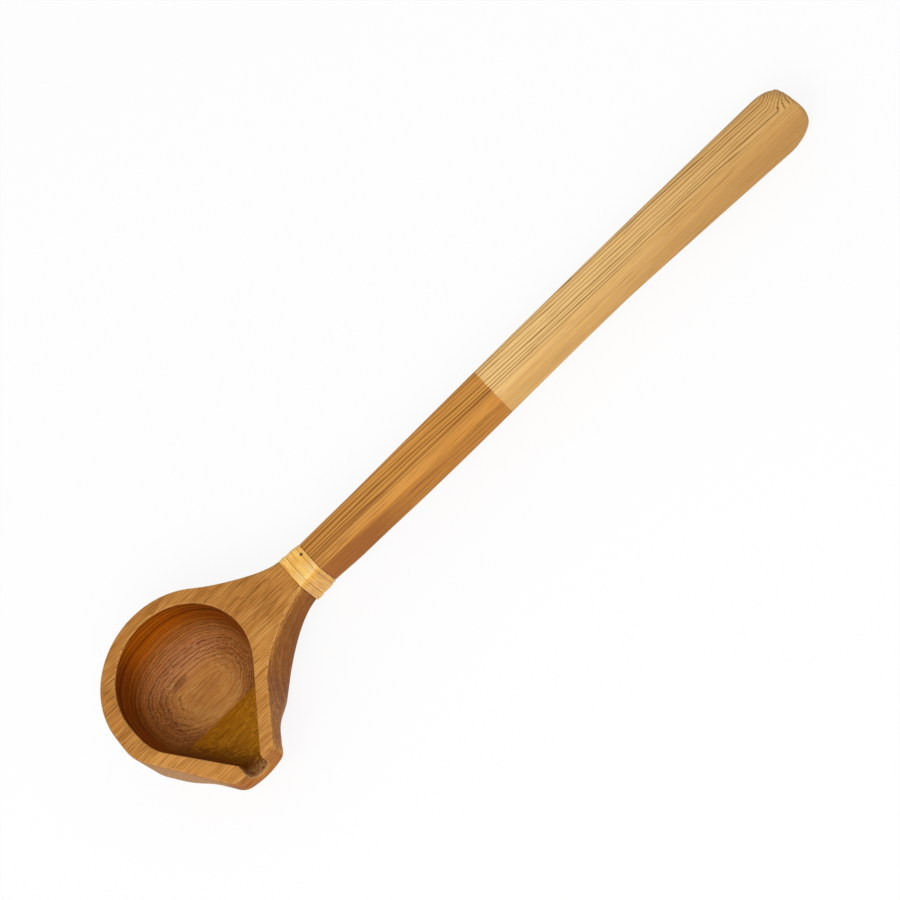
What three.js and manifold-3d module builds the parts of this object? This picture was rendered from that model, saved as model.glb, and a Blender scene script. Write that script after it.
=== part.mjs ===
// A wooden sauna ladle: a carved bowl with a pouring spout, a long straight handle, and a cane binding round
// the place where they meet. Millimetres, +Z up.
//
// The pieces are drawn in the rim's own frame: origin at the middle of the hollow on the flat rim, X along
// the handle, Z out of the bowl, and the spout on the -Y side. The whole ladle is then tipped a little, so
// that the bowl's flat base and the underside of the handle's end both lie on z = 0, as it rests on a bench.

import * as THREE from 'three';
import { mergeVertices } from 'three/addons/utils/BufferGeometryUtils.js';
import Module from 'manifold-3d';

const wasm = await Module();
wasm.setup();

const { lerp, smoothstep, clamp, degToRad } = THREE.MathUtils;
const gap = 0.3; // clearance between neighbouring pieces

// Driving dimensions of the bowl
const hollowRadius = 34.9;
const hollowDepth = 33;
const farWall = 8.6; // wall at the end away from the handle
const sideWall = 6.3; // wall at the side away from the spout
const headHeight = 43; // rim to base, under the middle of the hollow
const baseEndX = 23; // the flat base ends here and the underside rises to the neck
const bowlEdgeRadius = 16; // wide rounding where the bowl's wall turns under to the flat base
const rimEdgeRadius = 0.9;
const bowlProfile = { floor: 3, wall: 0.48 }; // powers for the breadth of the floor and the rise of the wall

// Driving dimensions of the spout
const spoutReach = 58.2; // middle of the hollow to the flat front of the spout
const spoutAxisX = -2.9;
const spoutFrontWidth = 25.2;
const spoutFrontDepth = 19.5;
const spoutRise = [23.6, 49.8]; // the underside rises to the front between these distances from the middle
const spoutKeel = 0.22; // share by which the spout is shallower at its sides than along its middle
const spoutEdgeRadius = 4.5;
const spoutFrontEdgeRadius = 2;
const spoutCornerRadius = 3.5;
const spoutShoulderNear = new THREE.Vector2(28.2, -31); // the spout's straight sides end at these two points
const spoutShoulderFar = new THREE.Vector2(-40.6, -18.2);
const spoutWallTurn = degToRad(54.7); // direction of the inner walls' normals, off the spout's axis
const spoutWallNear = 34.4; // distance of the inner wall on the handle side from the hollow's middle
const spoutWallFar = 37.2;
const spoutProfile = { floor: 9, wall: 0.3 }; // the same at the mouth
const mouthRadius = 5.4;
const mouthDepth = 11.5;
const mouthWall = 2; // the hollow's two straight walls end this far behind the front
const mouthReach = 30; // the mouth's channel runs this far up the ramp
const rampStart = 13.5; // the ramp leaves the hollow's floor this far towards the spout

// Driving dimensions of the neck
const neckWidth = 18.8;
const neckDepth = 23.6;
const neckEdgeRadius = 2.5;
const neckUnderRadius = 4;
const neckStraightFrom = 68;
const neckFlareX = 57; // here the neck's sides would be this much wider, where they sweep out to the bowl
const neckFlare = 1.2;
const bowlTurns = [degToRad(48), degToRad(178)]; // the rim follows the bowl's ellipse between these angles
const bowlPulls = [12, 9]; // how stiffly the rim's curves to the neck and to the spout leave that ellipse
const spoutPulls = [12, 7.5]; // and how stiffly they run into the spout's straight sides, near and far
const jointX = 74.6;

// Driving dimensions of the handle
const handleEndX = 388.5;
const handleStartWidth = 16.4;
const handleWideX = 327; // the handle has reached its full width here
const handleBackDepth = 24.9; // a little above the binding
const handleBackX = [100, 120]; // between these the depth stays the same
const handleWaistX = 270; // the underside is highest here
const handleWaistDepth = 19.1;
const gripWidth = 22.8;
const gripDepth = 27.5;
const gripEdgeRadius = 4;
const gripCornerRadii = [3, 2.5]; // seen from above, on the +Y side and the -Y side
const gripTopRadius = 2;
const gripUnderLength = 15.8; // the underside turns up to the end over this length
const gripUnderRise = 20;
const gripSwell = 1.2; // power of the underside's swelling from the waist to the grip
const gripSlant = 0.07; // the end is cut a little aslant, longer on the -Y side
const gripRollStart = new THREE.Vector2(378.2, 4.6); // past a line through here the top corner rolls off
const gripRollDirection = new THREE.Vector2(0.79, 0.61).normalize();
const gripRollRadius = 9.5;
const gripRollDepth = 20; // the roll fades out at this depth below the top

// Driving dimensions of the dowel, the binding and its pin
const dowelRadius = 5;
const dowelLength = 52;
const bindingStart = 68.2;
const stripWidths = { lower: 3.7, middle: 6.0, upper: 1.9 };
const caneThickness = 1;
const bindingStartWidth = 19;
const bindingEndWidth = 17;
const bindingProud = 0.5;
const bindingCornerRadius = 3;
const pinHeadRadius = 0.7;
const pinHeadHeight = 0.45;
const pinShankRadius = 0.4;
const pinLength = 6;
const pinPoint = 1;
const pinY = 2.8;

// Sizes worked out from the driving dimensions
const bowlHalfLength = hollowRadius + farWall;
const bowlHalfWidth = hollowRadius + sideWall;
const neckHalf = neckWidth / 2;
const spoutFrontHalf = spoutFrontWidth / 2;
const spoutSpread = (spoutShoulderNear.x - spoutAxisX - spoutFrontHalf) / (spoutReach + spoutShoulderNear.y);
const rampSlope = (hollowDepth - mouthDepth) / (spoutReach - rampStart);
const gripRestX = handleEndX - gripUnderLength;
const restSlope = (headHeight - gripDepth) / gripRestX;
const bindingEnd = bindingStart + Object.values(stripWidths).reduce((sum, width) => sum + width + gap, -gap);
const pinX = bindingEnd - stripWidths.upper - gap / 2; // in the seam between the middle and the upper strip
const dowelZ = -neckDepth / 2;
const cutSpare = 10; // how far a cutting shape runs past the wood it takes away

function material(color, roughness, metalness = 0) {
  return new THREE.MeshStandardMaterial({ color, roughness, metalness });
}

// A closed skin over rings of points that all have the same count. The two end rings are closed by a fan to
// their own middle points.
function skin(rings, firstMiddle, lastMiddle) {
  const count = rings[0].length;
  const points = [...rings.flat(), firstMiddle, lastMiddle];
  const first = rings.length * count;
  const last = first + 1;
  const index = [];
  for (let i = 0; i < count; i++) {
    const j = (i + 1) % count;
    index.push(first, j, i);
    for (let k = 0; k + 1 < rings.length; k++) {
      const low = k * count;
      const high = low + count;
      index.push(low + i, low + j, high + j, low + i, high + j, high + i);
    }
    index.push(last, (rings.length - 1) * count + i, (rings.length - 1) * count + j);
  }
  const geometry = new THREE.BufferGeometry().setFromPoints(points);
  geometry.setIndex(index);
  return geometry;
}

function solid(geometry) {
  const bare = geometry.clone();
  bare.deleteAttribute('normal');
  bare.deleteAttribute('uv');
  const merged = mergeVertices(bare, 1e-4);
  return new wasm.Manifold(new wasm.Mesh({
    numProp: 3,
    vertProperties: Float32Array.from(merged.attributes.position.array),
    triVerts: Uint32Array.from(merged.index.array),
  }));
}

function cut(geometry, ...tools) {
  const result = tools.reduce((body, tool) => body.subtract(solid(tool)), solid(geometry));
  const mesh = result.getMesh();
  const out = new THREE.BufferGeometry();
  out.setAttribute('position', new THREE.BufferAttribute(Float32Array.from(mesh.vertProperties), 3));
  out.setIndex(Array.from(mesh.triVerts));
  return out;
}

// A round bar along X, centred on the joint.
function barAcrossJoint(radius, length) {
  const bar = new THREE.CylinderGeometry(radius, radius, length, 24);
  return bar.rotateZ(Math.PI / 2).translate(jointX, 0, dowelZ);
}

// The binding's strips, side by side along X. The wrapped stretch narrows towards the handle, so each strip
// has a width across of its own.
const strips = [];
for (const [place, width] of Object.entries(stripWidths)) {
  const previous = strips.at(-1);
  const start = previous ? previous.start + previous.width + gap : bindingStart;
  const along = (start + width / 2 - bindingStart) / (bindingEnd - bindingStart);
  strips.push({ place, start, width, half: lerp(bindingStartWidth, bindingEndWidth, along) / 2 });
}

// A band round the neck or the handle at a strip's place. Both its faces are given as heights over the
// strip's outer face, and it can be longer than the strip at each end.
function bandGeometry(strip, innerFace, outerFace, longer = 0) {
  const outline = (Kind, out) => {
    const half = strip.half + out;
    const top = bindingProud + out;
    const bottom = -neckDepth - bindingProud - out;
    const radius = bindingCornerRadius + out;
    const path = new Kind();
    path.absarc(half - radius, top - radius, radius, 0, Math.PI / 2, false);
    path.absarc(-half + radius, top - radius, radius, Math.PI / 2, Math.PI, false);
    path.absarc(-half + radius, bottom + radius, radius, Math.PI, 1.5 * Math.PI, false);
    path.absarc(half - radius, bottom + radius, radius, 1.5 * Math.PI, 2 * Math.PI, false);
    path.closePath();
    return path;
  };
  const ring = outline(THREE.Shape, outerFace);
  ring.holes.push(outline(THREE.Path, innerFace));
  const depth = strip.width + 2 * longer;
  const geometry = new THREE.ExtrudeGeometry(ring, { depth, bevelEnabled: false, curveSegments: 6 });
  // the section's own axes become Y and Z, and the band's width runs along X
  const turned = new THREE.Matrix4().makeBasis(
    new THREE.Vector3(0, 1, 0), new THREE.Vector3(0, 0, 1), new THREE.Vector3(1, 0, 0));
  return geometry.applyMatrix4(turned).translate(strip.start - longer, 0, 0);
}

// The shallow seat that is cut into the wood under each strip, and the bore for the dowel.
const seats = strips.map((strip) => bandGeometry(strip, -caneThickness - gap, cutSpare, gap));
const dowelBore = barAcrossJoint(dowelRadius + gap, dowelLength + 2 * gap);

// Bowl head: bowl, spout and neck carved from one block.

// The outer edge of the flat rim, seen from above, starting past the joint on the neck's +Y side and ending
// there on its -Y side. The end between the two is cut away at the joint.
function rimOutline() {
  const [neckTurn, spoutTurn] = bowlTurns;
  const [neckPull, bowlFarPull] = bowlPulls;
  const [nearPull, farPull] = spoutPulls;
  const bowlSize = new THREE.Vector2(bowlHalfLength, bowlHalfWidth);
  const onBowl = (turn) => new THREE.Vector2(Math.cos(turn), Math.sin(turn)).multiply(bowlSize);
  const alongBowl = (turn) => onBowl(turn + Math.PI / 2).normalize();
  const toNeck = onBowl(neckTurn).addScaledVector(alongBowl(neckTurn), -neckPull);
  const toSpout = onBowl(spoutTurn).addScaledVector(alongBowl(spoutTurn), bowlFarPull);
  const cornerFar = new THREE.Vector2(spoutAxisX - spoutFrontHalf, -spoutReach);
  const cornerNear = new THREE.Vector2(spoutAxisX + spoutFrontHalf, -spoutReach);
  const upFar = spoutShoulderFar.clone().sub(cornerFar).normalize();
  const upNear = spoutShoulderNear.clone().sub(cornerNear).normalize();
  const pastFar = spoutShoulderFar.clone().addScaledVector(upFar, farPull);
  const pastNear = spoutShoulderNear.clone().addScaledVector(upNear, nearPull);
  const sideFar = cornerFar.clone().addScaledVector(upFar, spoutCornerRadius);
  const sideNear = cornerNear.clone().addScaledVector(upNear, spoutCornerRadius);
  const path = new THREE.Path();
  path.moveTo(jointX + cutSpare, neckHalf);
  path.lineTo(neckStraightFrom, neckHalf);
  path.bezierCurveTo(neckFlareX, neckHalf + neckFlare, ...toNeck, ...onBowl(neckTurn));
  path.absellipse(0, 0, bowlHalfLength, bowlHalfWidth, neckTurn, spoutTurn, false);
  path.bezierCurveTo(...toSpout, ...pastFar, ...spoutShoulderFar);
  path.lineTo(...sideFar);
  path.quadraticCurveTo(...cornerFar, cornerFar.x + spoutCornerRadius, cornerFar.y);
  path.lineTo(cornerNear.x - spoutCornerRadius, cornerNear.y);
  path.quadraticCurveTo(...cornerNear, ...sideNear);
  path.lineTo(...spoutShoulderNear);
  path.bezierCurveTo(...pastNear, neckFlareX, -neckHalf - neckFlare, neckStraightFrom, -neckHalf);
  path.lineTo(jointX + cutSpare, -neckHalf);
  return path;
}

// How far a point has gone from the bowl towards the neck and towards the spout's front, both from 0 to 1.
const towardsNeck = (point) => smoothstep(point.x, baseEndX, neckStraightFrom);
const towardsFront = (point) => smoothstep(-point.y, ...spoutRise);

// Points along the outline, each with a direction that points into the wood: to the middle on the bowl, and
// square to the edge on the neck and the spout.
function outlineSamples(step) {
  return rimOutline().curves.flatMap((curve) => {
    const count = Math.max(2, Math.round(curve.getLength() / step));
    return Array.from({ length: count }, (_, k) => {
      const at = curve.getPointAt(k / count);
      const tangent = curve.getTangentAt(k / count);
      const square = new THREE.Vector2(-tangent.y, tangent.x);
      const toMiddle = at.clone().negate().normalize();
      const offBowl = Math.max(towardsNeck(at), towardsFront(at));
      return { at, inward: toMiddle.lerp(square, offBowl).normalize() };
    });
  });
}

// Edge of the hollow along a direction from its middle: a circle, drawn out into two straight spout walls.
function hollowEdge(direction) {
  const offSpout = Math.atan2(direction.x, -direction.y);
  const wall = offSpout > 0 ? spoutWallNear : spoutWallFar;
  const turn = Math.abs(offSpout);
  if (turn > spoutWallTurn) {
    return lerp(wall, hollowRadius, smoothstep(turn, spoutWallTurn, Math.PI / 2));
  }
  const tip = (spoutReach - mouthWall) / Math.cos(turn);
  return Math.min(wall / Math.cos(spoutWallTurn - turn), tip);
}

// Height of the hollow's floor and walls at a share of the way out to its edge. The floor rises in a straight
// ramp to the mouth, and the section gets squarer on the way.
function hollowHeight(point, share) {
  const depth = hollowDepth - rampSlope * Math.max(0, -point.y - rampStart);
  const onRamp = smoothstep(-point.y, rampStart, spoutReach);
  const floorPower = lerp(bowlProfile.floor, spoutProfile.floor, onRamp);
  const wallPower = lerp(bowlProfile.wall, spoutProfile.wall, onRamp);
  return -depth * (1 - share ** floorPower) ** wallPower;
}

// Depth of the underside below the rim: the flat base, rising to the neck and to the keeled spout.
function headDepth(point) {
  const flatBase = headHeight - restSlope * Math.min(point.x, baseEndX);
  const half = spoutFrontHalf + spoutSpread * (point.y + spoutReach);
  const aside = Math.min(1, Math.abs(point.x - spoutAxisX) / half);
  const spoutDepth = spoutFrontDepth * (1 - spoutKeel * aside ** 2);
  const neck = lerp(1, neckDepth / headHeight, towardsNeck(point));
  const spout = lerp(1, spoutDepth / headHeight, towardsFront(point));
  return flatBase * neck * spout;
}

// The rounding under the outer wall: wide on the bowl, smaller at the neck and the spout, small at its front.
function underRadius(point) {
  const atFront = smoothstep(-point.y, spoutReach - spoutCornerRadius, spoutReach);
  const onSpout = lerp(bowlEdgeRadius, spoutEdgeRadius, towardsFront(point));
  return lerp(lerp(onSpout, spoutFrontEdgeRadius, atFront), neckUnderRadius, towardsNeck(point));
}

function bowlHeadGeometry() {
  const outlineStep = 3.4;
  const samples = outlineSamples(outlineStep);
  const underRings = 9;
  const roundingRings = 6;
  const edgeRings = 2;
  const hollowRings = 8;
  const lift = (point, z) => new THREE.Vector3(point.x, point.y, z);
  const quarter = (k, steps) => (k / steps) * (Math.PI / 2);
  const inset = ({ at, inward }, distance) => at.clone().addScaledVector(inward, distance);
  const rings = [];
  const addRing = (make) => rings.push(samples.map(make));

  // underside, from the middle of the base out to the rounding
  for (let k = 1; k <= underRings; k++) {
    addRing((sample) => {
      const point = inset(sample, underRadius(sample.at)).multiplyScalar(k / underRings);
      return lift(point, -headDepth(point));
    });
  }
  // rounding from the underside up to the wall
  for (let k = 1; k <= roundingRings; k++) {
    const turn = quarter(k, roundingRings);
    addRing((sample) => {
      const radius = underRadius(sample.at);
      const point = inset(sample, radius * (1 - Math.sin(turn)));
      return lift(point, -headDepth(point) + radius * (1 - Math.cos(turn)));
    });
  }
  // outer edge of the flat rim, which is rounder on the neck
  for (let k = 0; k <= edgeRings; k++) {
    const turn = quarter(k, edgeRings);
    addRing((sample) => {
      const onNeck = smoothstep(sample.at.x, bowlHalfLength, neckStraightFrom);
      const radius = lerp(rimEdgeRadius, neckEdgeRadius, onNeck);
      return lift(inset(sample, radius * (1 - Math.cos(turn))), -radius * (1 - Math.sin(turn)));
    });
  }
  // inner edge of the flat rim
  for (let k = 0; k <= edgeRings; k++) {
    const turn = quarter(k, edgeRings);
    addRing((sample) => {
      const direction = sample.at.clone().normalize();
      const out = hollowEdge(direction) + rimEdgeRadius * (1 - Math.sin(turn));
      return lift(direction.multiplyScalar(out), -rimEdgeRadius * (1 - Math.cos(turn)));
    });
  }
  // inside of the hollow, from its edge to the middle of the floor
  for (let k = 1; k < hollowRings; k++) {
    const share = Math.cos(quarter(k, hollowRings));
    addRing((sample) => {
      const direction = sample.at.clone().normalize();
      const point = direction.clone().multiplyScalar(hollowEdge(direction) * share);
      return lift(point, hollowHeight(point, share));
    });
  }
  const middle = new THREE.Vector2();
  return skin(rings, lift(middle, -headDepth(middle)), lift(middle, -hollowDepth));
}

// The round-bottomed channel that lets the ramp out through the spout's front, at the ramp's own slope.
function mouthGeometry() {
  const slope = Math.atan(rampSlope);
  const along = new THREE.Vector3(0, -Math.cos(slope), Math.sin(slope));
  const up = new THREE.Vector3(0, Math.sin(slope), Math.cos(slope));
  const section = new THREE.Shape();
  section.absarc(0, mouthRadius, mouthRadius, Math.PI, 2 * Math.PI, false);
  section.lineTo(mouthRadius, mouthDepth + cutSpare);
  section.lineTo(-mouthRadius, mouthDepth + cutSpare);
  section.closePath();
  const depth = mouthReach + cutSpare;
  const channel = new THREE.ExtrudeGeometry(section, { depth, bevelEnabled: false, curveSegments: 16 });
  channel.applyMatrix4(new THREE.Matrix4().makeBasis(new THREE.Vector3(1, 0, 0), up, along));
  const start = new THREE.Vector3(spoutAxisX, -spoutReach, -mouthDepth).addScaledVector(along, -mouthReach);
  return channel.translate(...start);
}

const beyondJoint = new THREE.BoxGeometry(2 * cutSpare, 2 * neckWidth, 2 * headHeight)
  .translate(jointX - gap / 2 + cutSpare, 0, dowelZ);
const bowlHead = new THREE.Mesh(
  cut(bowlHeadGeometry(), beyondJoint, dowelBore, mouthGeometry(), ...seats),
  material(0xb3762f, 0.45),
);
bowlHead.name = 'bowl_head';

// Handle: one stick, its section a rounded rectangle, deeper at the neck and the grip than at the waist.

// How far a rounding of the given length and height has drawn the surface in at x, near the handle's end.
function endRounding(x, length, height = length) {
  const into = clamp((x - (handleEndX - length)) / length, 0, 1);
  return height * (1 - Math.sqrt(1 - into * into));
}

// The end's slanting cut and its rolled-off top corner, whose round stops just short of upright.
function shapeEnd(point) {
  const rollShare = 0.97;
  const ahead = clamp((point.x - gripRestX) / gripUnderLength, 0, 1) ** 2;
  point.x -= gripSlant * point.y * ahead;
  const past = new THREE.Vector2(point.x, point.y).sub(gripRollStart).dot(gripRollDirection);
  const onRoll = clamp(past, 0, rollShare * gripRollRadius);
  const drop = gripRollRadius - Math.sqrt(gripRollRadius ** 2 - onRoll ** 2);
  point.z -= drop * clamp(1 + point.z / gripRollDepth, 0, 1);
  return point;
}

function handleSection(x) {
  const slimness = 1 - clamp((x - bindingEnd) / (handleWideX - bindingEnd), 0, 1);
  const half = lerp(gripWidth, handleStartWidth, slimness ** 2) / 2;
  const left = half - endRounding(x, gripCornerRadii[0]);
  const right = -half + endRounding(x, gripCornerRadii[1]);
  const [backFrom, backTo] = handleBackX;
  const backDepth = lerp(neckDepth, handleBackDepth, smoothstep(x, bindingEnd, backFrom));
  const waistedDepth = lerp(backDepth, handleWaistDepth, smoothstep(x, backTo, handleWaistX));
  const swell = clamp((x - handleWaistX) / (gripRestX - handleWaistX), 0, 1) ** gripSwell;
  const depth = lerp(waistedDepth, gripDepth, swell);
  const top = -endRounding(x, gripTopRadius);
  const bottom = -depth + endRounding(x, gripUnderLength, gripUnderRise);
  const edgeRadius = lerp(neckEdgeRadius, gripEdgeRadius, smoothstep(x, bindingEnd, backTo));
  const edgeShare = 0.48; // near the end the edges' rounds take up nearly all of the height that is left
  const radius = Math.min(edgeRadius, edgeShare * (top - bottom));
  const shape = new THREE.Path();
  shape.absarc(left - radius, bottom + radius, radius, -Math.PI / 2, 0, false);
  shape.absarc(left - radius, top - radius, radius, 0, Math.PI / 2, false);
  shape.absarc(right + radius, top - radius, radius, Math.PI / 2, Math.PI, false);
  shape.absarc(right + radius, bottom + radius, radius, Math.PI, 1.5 * Math.PI, false);
  const ring = shape.curves.filter((curve) => curve.isEllipseCurve).flatMap((arc) => arc.getPoints(5));
  return ring.map(({ x: y, y: z }) => shapeEnd(new THREE.Vector3(x, y, z)));
}

function handleGeometry() {
  const start = jointX + gap / 2;
  const stickStations = 25;
  const endStations = 12;
  const stations = Array.from({ length: stickStations }, (_, k) => lerp(start, gripRestX, k / stickStations));
  for (let k = 0; k <= endStations; k++) {
    stations.push(gripRestX + gripUnderLength * Math.sin((k / endStations) * (Math.PI / 2)));
  }
  const startMiddle = new THREE.Vector3(start, 0, dowelZ);
  const endMiddle = new THREE.Vector3(handleEndX, 0, (gripUnderRise - gripDepth - gripTopRadius) / 2);
  return skin(stations.map(handleSection), startMiddle, endMiddle);
}

// Pin: a small brad that tacks the binding to the handle.
function pinGeometry() {
  const profile = [
    new THREE.Vector2(0, -pinLength),
    new THREE.Vector2(pinShankRadius, -pinLength + pinPoint),
    new THREE.Vector2(pinShankRadius, 0),
    new THREE.Vector2(pinHeadRadius, 0),
    new THREE.Vector2(pinHeadRadius, pinHeadHeight / 2),
    new THREE.Vector2(0, pinHeadHeight),
  ];
  return new THREE.LatheGeometry(profile, 16).rotateX(Math.PI / 2);
}

const pinSeat = bindingProud + gap;
const pinHoleRadius = pinShankRadius + gap;
const pinHole = new THREE.CylinderGeometry(pinHoleRadius, pinHoleRadius, 2 * (pinLength + gap), 16)
  .rotateX(Math.PI / 2).translate(pinX, pinY, pinSeat);
const pin = new THREE.Mesh(pinGeometry(), material(0x2b211a, 0.5, 0.6));
pin.name = 'binding_pin';
pin.position.set(pinX, pinY, pinSeat);

const handle = new THREE.Mesh(cut(handleGeometry(), dowelBore, pinHole, ...seats), material(0xc9965a, 0.6));
handle.name = 'handle';

// Dowel: the pin of wood inside, glued into the neck and the handle.
const dowel = new THREE.Mesh(barAcrossJoint(dowelRadius, dowelLength), material(0xcaa777, 0.7));
dowel.name = 'dowel';

// Binding: strips of cane laid round the neck and the handle, side by side, in their seats.
const binding = strips.map((strip) => {
  const geometry = cut(bandGeometry(strip, -caneThickness, 0), pinHole);
  const mesh = new THREE.Mesh(geometry, material(0xe3bd6c, 0.4));
  mesh.name = `binding_${strip.place}_strip`;
  return mesh;
});

// The ladle as it rests: tipped about the middle of the bowl's base, which is the origin.
const ladle = new THREE.Group();
ladle.add(bowlHead, handle, dowel, ...binding, pin);
ladle.rotation.y = Math.atan(restSlope);
ladle.position.set(0, 0, headHeight).applyEuler(ladle.rotation);

const part = new THREE.Group();
part.add(ladle);

export default part;
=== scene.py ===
"""A wooden sauna ladle at rest on a pale floor: carved head, stick handle, dowel, cane binding and pin.

Sizes are in millimetres in the rim's own frame: origin at the middle of the hollow on the flat rim, X along
the handle, Z out of the bowl, the spout on the -Y side. Every piece is set down in the row frame, in metres.
"""

import math

import bmesh
import bpy
import numpy as np
from mathutils import Matrix, Vector


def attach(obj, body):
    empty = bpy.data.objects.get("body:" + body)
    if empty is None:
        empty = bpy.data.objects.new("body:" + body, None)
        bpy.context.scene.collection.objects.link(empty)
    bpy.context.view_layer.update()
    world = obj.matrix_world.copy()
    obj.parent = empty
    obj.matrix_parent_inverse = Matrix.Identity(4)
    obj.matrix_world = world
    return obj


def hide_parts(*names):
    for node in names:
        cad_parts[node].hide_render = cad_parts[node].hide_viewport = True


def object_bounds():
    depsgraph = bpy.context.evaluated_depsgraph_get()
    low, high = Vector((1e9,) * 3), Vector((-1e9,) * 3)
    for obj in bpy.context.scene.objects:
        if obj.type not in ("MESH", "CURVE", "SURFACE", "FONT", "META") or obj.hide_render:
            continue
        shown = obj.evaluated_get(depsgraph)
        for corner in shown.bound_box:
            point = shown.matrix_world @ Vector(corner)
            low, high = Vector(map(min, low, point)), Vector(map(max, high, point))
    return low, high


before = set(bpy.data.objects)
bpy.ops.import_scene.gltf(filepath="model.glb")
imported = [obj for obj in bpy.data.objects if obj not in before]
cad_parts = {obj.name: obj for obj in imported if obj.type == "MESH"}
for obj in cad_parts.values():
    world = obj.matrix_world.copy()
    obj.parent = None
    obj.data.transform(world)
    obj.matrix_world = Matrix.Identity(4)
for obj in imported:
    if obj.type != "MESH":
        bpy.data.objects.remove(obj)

cad_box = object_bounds()

# Bowl head
# Bowl, pouring spout and neck, carved from one block of reddish heat-treated softwood with its fibres along
# the handle. It is turned hollow, milled down a straight ramp to the mouth, sanded and oiled. The neck's end
# is bored for the dowel, and shallow seats round it take the cane.

gap = 0.3  # clearance between neighbouring pieces
hollow_radius = 34.9
hollow_depth = 33.0
far_wall = 8.6
side_wall = 6.3
bowl_half_length = hollow_radius + far_wall
bowl_half_width = hollow_radius + side_wall
head_height = 43.0  # rim to base, under the middle of the hollow
base_end_x = 23.0
bowl_edge_radius = 16.0  # wide rounding where the wall turns under to the flat base
rim_edge_radius = 0.9
bowl_profile = (3.0, 0.48)  # powers for the breadth of the floor and the rise of the wall

spout_reach = 58.2
spout_axis_x = -2.9
spout_front_half = 12.6
spout_front_depth = 19.5
spout_rise = (23.6, 49.8)  # the underside rises to the spout over this stretch
spout_keel = 0.22  # share by which the spout is shallower at its sides than under its middle
spout_edge_radius = 4.5
spout_front_edge_radius = 2.0
spout_corner_radius = 3.5
spout_shoulder_near = np.array([28.2, -31.0])  # near and far as seen from the handle
spout_shoulder_far = np.array([-40.6, -18.2])
spout_wall_turn = math.radians(54.7)
spout_wall_near = 34.4
spout_wall_far = 37.2
spout_profile = (9.0, 0.3)
mouth_radius = 5.4
mouth_depth = 11.5
mouth_wall = 2.0  # wood left between the hollow and the spout's front, where the mouth is cut
mouth_ease = 0.55  # radius of the mouth's eased edges
mouth_clear = 0.03  # the eased edges start this far outside the rim and the front, so that they cut cleanly
mouth_run_out = 1.4  # the channel rises out of the ramp by this much over its inner stretch
mouth_stations = (30.0, 25.0, 20.0, 15.0, 9.0, 5.0, 2.0)  # places behind the front, from the inner end
mouth_run_out_start = 14.0
mouth_overshoot = 4.0
mouth_over_rim = 2.5
mouth_arc_steps = 32
ramp_start = 13.5
ramp_slope = (hollow_depth - mouth_depth) / (spout_reach - ramp_start)

neck_half = 9.4
neck_depth = 23.6
neck_edge_radius = 2.5
neck_under_radius = 4.0
neck_straight_from = 68.0
neck_flare_x = 57.0
neck_flare = 1.2
bowl_turns = (math.radians(48), math.radians(178))  # the rim is round between these turns
bowl_pulls = (12.0, 9.0)  # control lengths of the rim's curves where they leave the bowl
spout_pulls = (12.0, 7.5)  # and where they leave the spout's shoulders
joint_x = 74.6
neck_spare = 10.0  # the uncut neck runs this far past the joint

dowel_radius = 5.0
dowel_length = 52.0
dowel_z = -neck_depth / 2

# the ladle is tipped to rest on its flat base and on the underside of the handle's end
handle_end_x = 388.5
grip_under_length = 15.8
grip_rest_x = handle_end_x - grip_under_length
grip_depth = 27.5
rest_slope = (head_height - grip_depth) / grip_rest_x
rest_tilt = Matrix.Rotation(math.atan(rest_slope), 4, "Y")
rest_place = Matrix.Scale(0.001, 4) @ rest_tilt @ Matrix.Translation((0, 0, head_height))


def mix(a, b, share):
    return a + (b - a) * share


def ease(x, low, high):
    t = np.clip((x - low) / (high - low), 0, 1)
    return t * t * (3 - 2 * t)


def bezier(*points):
    """A line or curve by its control points, as a function of the way along it."""
    def at(t):
        layers = [np.tile(np.asarray(p, float), (len(t), 1)) for p in points]
        while len(layers) > 1:
            layers = [mix(a, b, t[:, None]) for a, b in zip(layers, layers[1:])]
        return layers[0]
    return at


trace_steps = 500  # fine enough to measure a curve's length by


def even_points(curve, step):
    """Points a step apart along a curve, without its last, and the curve's direction at each."""
    dense = curve(np.linspace(0, 1, trace_steps))
    run = np.append(0, np.cumsum(np.linalg.norm(np.diff(dense, axis=0), axis=1)))
    marks = np.linspace(0, run[-1], max(2, round(run[-1] / step)), endpoint=False)
    slope = np.gradient(dense, run, axis=0)
    points = np.column_stack([np.interp(marks, run, dense[:, k]) for k in (0, 1)])
    along = np.column_stack([np.interp(marks, run, slope[:, k]) for k in (0, 1)])
    return points, along / np.linalg.norm(along, axis=1, keepdims=True)


def on_bowl(turn):
    """Points on the bowl's outer edge, round from +X."""
    return np.column_stack([bowl_half_length * np.cos(turn), bowl_half_width * np.sin(turn)])


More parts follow.
